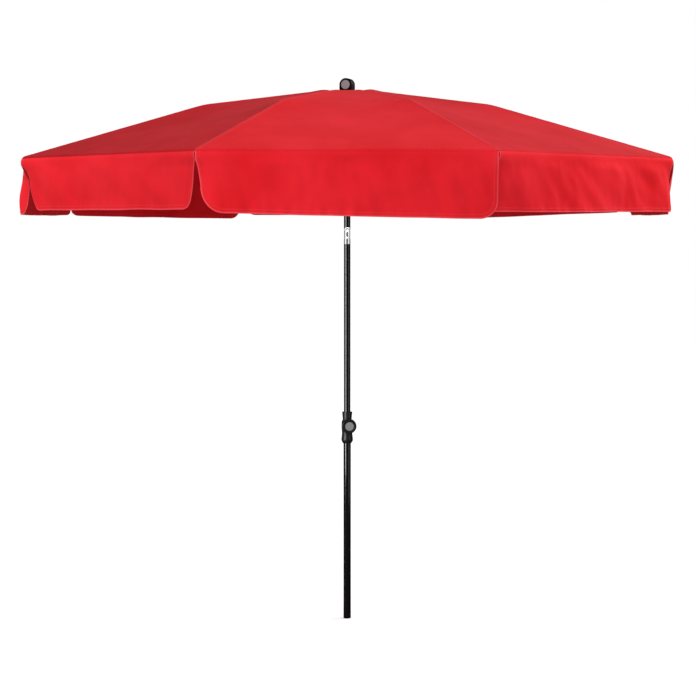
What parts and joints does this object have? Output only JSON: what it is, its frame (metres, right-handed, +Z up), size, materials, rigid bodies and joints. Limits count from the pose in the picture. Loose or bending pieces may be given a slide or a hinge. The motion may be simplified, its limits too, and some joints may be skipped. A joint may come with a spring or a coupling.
{
  "type": "patio umbrella",
  "caption": "Garden parasol: flat-sided red canopy with hanging valance flaps on folding ribs, on a telescopic tilting black pole with a clamp knob.",
  "frame": {"origin": "on the pole's axis, at the underside of the foot plug", "axes": "+Z up the pole; -Y faces the clamp knob and the middle of the front gore; +X to the right, seen from the front"},
  "size_m": [2.039, 2.039, 1.8241],
  "materials": {
    "black_powder_coat": "gloss black powder coat",
    "chrome_plate": "polished",
    "galvanised_steel": "dull",
    "black_plastic": "moulded matte black",
    "grey_plastic": "satin grey",
    "red_polyester": "plain woven"
  },
  "bodies": {
    "lower_pole": {"lower_tube": "black_powder_coat", "foot_plug": "black_plastic", "clamp_body": "black_plastic", "clamp_nut": "galvanised_steel"},
    "knob": {"clamp_knob": "black_plastic", "clamp_knob_cap": "grey_plastic", "clamp_screw": "galvanised_steel"},
    "upper_pole": {"upper_tube": "black_powder_coat", "guide_bush": "black_plastic", "tilt_fork": "chrome_plate", "tilt_rivet": "chrome_plate"},
    "head": {"tilt_tongue": "chrome_plate", "head_tube": "black_powder_coat", "crown_hub": "black_plastic", "crown_ring": "galvanised_steel", "crown_patch": "red_polyester", "finial": "black_plastic", "finial_cap": "grey_plastic"},
    "runner": {"runner": "black_plastic"},
    "latch": {"runner_latch": "black_plastic"},
    "rib_1": {"rib_1": "black_powder_coat", "rib_tip_1": "black_plastic"},
    "strut_1": {"strut_1": "black_powder_coat"},
    "gore_1": {"gore_1": "red_polyester"},
    "flap_1": {"flap_1": "red_polyester"},
    "rib_2": {"rib_2": "black_powder_coat", "rib_tip_2": "black_plastic"},
    "strut_2": {"strut_2": "black_powder_coat"},
    "gore_2": {"gore_2": "red_polyester"},
    "flap_2": {"flap_2": "red_polyester"},
    "rib_3": {"rib_3": "black_powder_coat", "rib_tip_3": "black_plastic"},
    "strut_3": {"strut_3": "black_powder_coat"},
    "gore_3": {"gore_3": "red_polyester"},
    "flap_3": {"flap_3": "red_polyester"},
    "rib_4": {"rib_4": "black_powder_coat", "rib_tip_4": "black_plastic"},
    "strut_4": {"strut_4": "black_powder_coat"},
    "gore_4": {"gore_4": "red_polyester"},
    "flap_4": {"flap_4": "red_polyester"},
    "rib_5": {"rib_5": "black_powder_coat", "rib_tip_5": "black_plastic"},
    "strut_5": {"strut_5": "black_powder_coat"},
    "gore_5": {"gore_5": "red_polyester"},
    "flap_5": {"flap_5": "red_polyester"},
    "rib_6": {"rib_6": "black_powder_coat", "rib_tip_6": "black_plastic"},
    "strut_6": {"strut_6": "black_powder_coat"},
    "gore_6": {"gore_6": "red_polyester"},
    "flap_6": {"flap_6": "red_polyester"},
    "rib_7": {"rib_7": "black_powder_coat", "rib_tip_7": "black_plastic"},
    "strut_7": {"strut_7": "black_powder_coat"},
    "gore_7": {"gore_7": "red_polyester"},
    "flap_7": {"flap_7": "red_polyester"},
    "rib_8": {"rib_8": "black_powder_coat", "rib_tip_8": "black_plastic"},
    "strut_8": {"strut_8": "black_powder_coat"},
    "gore_8": {"gore_8": "red_polyester"},
    "flap_8": {"flap_8": "red_polyester"}
  },
  "joints": [
    {"name": "height_slide", "type": "slide", "parent": "lower_pole", "child": "upper_pole", "axis": [0, 0, 1], "range_m": [0, 0.25]},
    {"name": "clamp_knob_turn", "type": "hinge", "parent": "lower_pole", "child": "knob", "pos_m": [0.00695, -0.03939, 0.652], "axis": [0.1736, -0.9848, 0], "range_deg": [0, 360]},
    {"name": "canopy_tilt", "type": "hinge", "parent": "upper_pole", "child": "head", "pos_m": [0, 0, 1.29], "axis": [0, 1, 0], "range_deg": [-45, 0]},
    {"name": "runner_slide", "type": "slide", "parent": "head", "child": "runner", "axis": [0, 0, -1], "range_m": [0, 0.7382]},
    {"name": "latch_pull", "type": "slide", "parent": "runner", "child": "latch", "axis": [0, -1, 0], "range_m": [0, 0.004], "stiffness_N_per_m": 300},
    {"name": "rib_1_hinge", "type": "hinge", "parent": "head", "child": "rib_1", "pos_m": [-0.01148, -0.02772, 1.771], "axis": [0.9239, -0.3827, 0], "range_deg": [0, 74.33]},
    {"name": "strut_1_hinge", "type": "hinge", "parent": "rib_1", "child": "strut_1", "pos_m": [-0.1944, -0.46933, 1.715], "axis": [0.9239, -0.3827, 0], "range_deg": [-134.24, 0]},
    {"name": "gore_1_fold", "type": "hinge", "parent": "head", "child": "gore_1", "pos_m": [0, -0.02587, 1.77805], "axis": [1, 0, 0], "range_deg": [0, 73.21], "deforming": ["gore_1"]},
    {"name": "flap_1_hang", "type": "hinge", "parent": "gore_1", "child": "flap_1", "pos_m": [0, -1.01827, 1.53806], "axis": [1, 0, 0], "range_deg": [-73.21, 0], "deforming": ["flap_1"]},
    {"name": "rib_2_hinge", "type": "hinge", "parent": "head", "child": "rib_2", "pos_m": [0.01148, -0.02772, 1.771], "axis": [0.9239, 0.3827, 0], "range_deg": [0, 74.33]},
    {"name": "strut_2_hinge", "type": "hinge", "parent": "rib_2", "child": "strut_2", "pos_m": [0.1944, -0.46933, 1.715], "axis": [0.9239, 0.3827, 0], "range_deg": [-134.24, 0]},
    {"name": "gore_2_fold", "type": "hinge", "parent": "head", "child": "gore_2", "pos_m": [0.01829, -0.01829, 1.77805], "axis": [0.7071, 0.7071, 0], "range_deg": [0, 73.21], "deforming": ["gore_2"]},
    {"name": "flap_2_hang", "type": "hinge", "parent": "gore_2", "child": "flap_2", "pos_m": [0.72002, -0.72002, 1.53806], "axis": [0.7071, 0.7071, 0], "range_deg": [-73.21, 0], "deforming": ["flap_2"]},
    {"name": "rib_3_hinge", "type": "hinge", "parent": "head", "child": "rib_3", "pos_m": [0.02772, -0.01148, 1.771], "axis": [0.3827, 0.9239, 0], "range_deg": [0, 74.33]},
    {"name": "strut_3_hinge", "type": "hinge", "parent": "rib_3", "child": "strut_3", "pos_m": [0.46933, -0.1944, 1.715], "axis": [0.3827, 0.9239, 0], "range_deg": [-134.24, 0]},
    {"name": "gore_3_fold", "type": "hinge", "parent": "head", "child": "gore_3", "pos_m": [0.02587, 0, 1.77805], "axis": [0, 1, 0], "range_deg": [0, 73.21], "deforming": ["gore_3"]},
    {"name": "flap_3_hang", "type": "hinge", "parent": "gore_3", "child": "flap_3", "pos_m": [1.01827, 0, 1.53806], "axis": [0, 1, 0], "range_deg": [-73.21, 0], "deforming": ["flap_3"]},
    {"name": "rib_4_hinge", "type": "hinge", "parent": "head", "child": "rib_4", "pos_m": [0.02772, 0.01148, 1.771], "axis": [-0.3827, 0.9239, 0], "range_deg": [0, 74.33]},
    {"name": "strut_4_hinge", "type": "hinge", "parent": "rib_4", "child": "strut_4", "pos_m": [0.46933, 0.1944, 1.715], "axis": [-0.3827, 0.9239, 0], "range_deg": [-134.24, 0]},
    {"name": "gore_4_fold", "type": "hinge", "parent": "head", "child": "gore_4", "pos_m": [0.01829, 0.01829, 1.77805], "axis": [-0.7071, 0.7071, 0], "range_deg": [0, 73.21], "deforming": ["gore_4"]},
    {"name": "flap_4_hang", "type": "hinge", "parent": "gore_4", "child": "flap_4", "pos_m": [0.72002, 0.72002, 1.53806], "axis": [-0.7071, 0.7071, 0], "range_deg": [-73.21, 0], "deforming": ["flap_4"]},
    {"name": "rib_5_hinge", "type": "hinge", "parent": "head", "child": "rib_5", "pos_m": [0.01148, 0.02772, 1.771], "axis": [-0.9239, 0.3827, 0], "range_deg": [0, 74.33]},
    {"name": "strut_5_hinge", "type": "hinge", "parent": "rib_5", "child": "strut_5", "pos_m": [0.1944, 0.46933, 1.715], "axis": [-0.9239, 0.3827, 0], "range_deg": [-134.24, 0]},
    {"name": "gore_5_fold", "type": "hinge", "parent": "head", "child": "gore_5", "pos_m": [0, 0.02587, 1.77805], "axis": [-1, 0, 0], "range_deg": [0, 73.21], "deforming": ["gore_5"]},
    {"name": "flap_5_hang", "type": "hinge", "parent": "gore_5", "child": "flap_5", "pos_m": [0, 1.01827, 1.53806], "axis": [-1, 0, 0], "range_deg": [-73.21, 0], "deforming": ["flap_5"]},
    {"name": "rib_6_hinge", "type": "hinge", "parent": "head", "child": "rib_6", "pos_m": [-0.01148, 0.02772, 1.771], "axis": [-0.9239, -0.3827, 0], "range_deg": [0, 74.33]},
    {"name": "strut_6_hinge", "type": "hinge", "parent": "rib_6", "child": "strut_6", "pos_m": [-0.1944, 0.46933, 1.715], "axis": [-0.9239, -0.3827, 0], "range_deg": [-134.24, 0]},
    {"name": "gore_6_fold", "type": "hinge", "parent": "head", "child": "gore_6", "pos_m": [-0.01829, 0.01829, 1.77805], "axis": [-0.7071, -0.7071, 0], "range_deg": [0, 73.21], "deforming": ["gore_6"]},
    {"name": "flap_6_hang", "type": "hinge", "parent": "gore_6", "child": "flap_6", "pos_m": [-0.72002, 0.72002, 1.53806], "axis": [-0.7071, -0.7071, 0], "range_deg": [-73.21, 0], "deforming": ["flap_6"]},
    {"name": "rib_7_hinge", "type": "hinge", "parent": "head", "child": "rib_7", "pos_m": [-0.02772, 0.01148, 1.771], "axis": [-0.3827, -0.9239, 0], "range_deg": [0, 74.33]},
    {"name": "strut_7_hinge", "type": "hinge", "parent": "rib_7", "child": "strut_7", "pos_m": [-0.46933, 0.1944, 1.715], "axis": [-0.3827, -0.9239, 0], "range_deg": [-134.24, 0]},
    {"name": "gore_7_fold", "type": "hinge", "parent": "head", "child": "gore_7", "pos_m": [-0.02587, 0, 1.77805], "axis": [0, -1, 0], "range_deg": [0, 73.21], "deforming": ["gore_7"]},
    {"name": "flap_7_hang", "type": "hinge", "parent": "gore_7", "child": "flap_7", "pos_m": [-1.01827, 0, 1.53806], "axis": [0, -1, 0], "range_deg": [-73.21, 0], "deforming": ["flap_7"]},
    {"name": "rib_8_hinge", "type": "hinge", "parent": "head", "child": "rib_8", "pos_m": [-0.02772, -0.01148, 1.771], "axis": [0.3827, -0.9239, 0], "range_deg": [0, 74.33]},
    {"name": "strut_8_hinge", "type": "hinge", "parent": "rib_8", "child": "strut_8", "pos_m": [-0.46933, -0.1944, 1.715], "axis": [0.3827, -0.9239, 0], "range_deg": [-134.24, 0]},
    {"name": "gore_8_fold", "type": "hinge", "parent": "head", "child": "gore_8", "pos_m": [-0.01829, -0.01829, 1.77805], "axis": [0.7071, -0.7071, 0], "range_deg": [0, 73.21], "deforming": ["gore_8"]},
    {"name": "flap_8_hang", "type": "hinge", "parent": "gore_8", "child": "flap_8", "pos_m": [-0.72002, -0.72002, 1.53806], "axis": [0.7071, -0.7071, 0], "range_deg": [-73.21, 0], "deforming": ["flap_8"]}
  ],
  "couplings": [
    {"joint": "rib_1_hinge", "follows": "runner_slide", "rad_per_m": 1.7571},
    {"joint": "strut_1_hinge", "follows": "runner_slide", "rad_per_m": -3.1736},
    {"joint": "gore_1_fold", "follows": "runner_slide", "rad_per_m": 1.7306},
    {"joint": "flap_1_hang", "follows": "runner_slide", "rad_per_m": -1.7306},
    {"joint": "rib_2_hinge", "follows": "runner_slide", "rad_per_m": 1.7571},
    {"joint": "strut_2_hinge", "follows": "runner_slide", "rad_per_m": -3.1736},
    {"joint": "gore_2_fold", "follows": "runner_slide", "rad_per_m": 1.7306},
    {"joint": "flap_2_hang", "follows": "runner_slide", "rad_per_m": -1.7306},
    {"joint": "rib_3_hinge", "follows": "runner_slide", "rad_per_m": 1.7571},
    {"joint": "strut_3_hinge", "follows": "runner_slide", "rad_per_m": -3.1736},
    {"joint": "gore_3_fold", "follows": "runner_slide", "rad_per_m": 1.7306},
    {"joint": "flap_3_hang", "follows": "runner_slide", "rad_per_m": -1.7306},
    {"joint": "rib_4_hinge", "follows": "runner_slide", "rad_per_m": 1.7571},
    {"joint": "strut_4_hinge", "follows": "runner_slide", "rad_per_m": -3.1736},
    {"joint": "gore_4_fold", "follows": "runner_slide", "rad_per_m": 1.7306},
    {"joint": "flap_4_hang", "follows": "runner_slide", "rad_per_m": -1.7306},
    {"joint": "rib_5_hinge", "follows": "runner_slide", "rad_per_m": 1.7571},
    {"joint": "strut_5_hinge", "follows": "runner_slide", "rad_per_m": -3.1736},
    {"joint": "gore_5_fold", "follows": "runner_slide", "rad_per_m": 1.7306},
    {"joint": "flap_5_hang", "follows": "runner_slide", "rad_per_m": -1.7306},
    {"joint": "rib_6_hinge", "follows": "runner_slide", "rad_per_m": 1.7571},
    {"joint": "strut_6_hinge", "follows": "runner_slide", "rad_per_m": -3.1736},
    {"joint": "gore_6_fold", "follows": "runner_slide", "rad_per_m": 1.7306},
    {"joint": "flap_6_hang", "follows": "runner_slide", "rad_per_m": -1.7306},
    {"joint": "rib_7_hinge", "follows": "runner_slide", "rad_per_m": 1.7571},
    {"joint": "strut_7_hinge", "follows": "runner_slide", "rad_per_m": -3.1736},
    {"joint": "gore_7_fold", "follows": "runner_slide", "rad_per_m": 1.7306},
    {"joint": "flap_7_hang", "follows": "runner_slide", "rad_per_m": -1.7306},
    {"joint": "rib_8_hinge", "follows": "runner_slide", "rad_per_m": 1.7571},
    {"joint": "strut_8_hinge", "follows": "runner_slide", "rad_per_m": -3.1736},
    {"joint": "gore_8_fold", "follows": "runner_slide", "rad_per_m": 1.7306},
    {"joint": "flap_8_hang", "follows": "runner_slide", "rad_per_m": -1.7306}
  ]
}
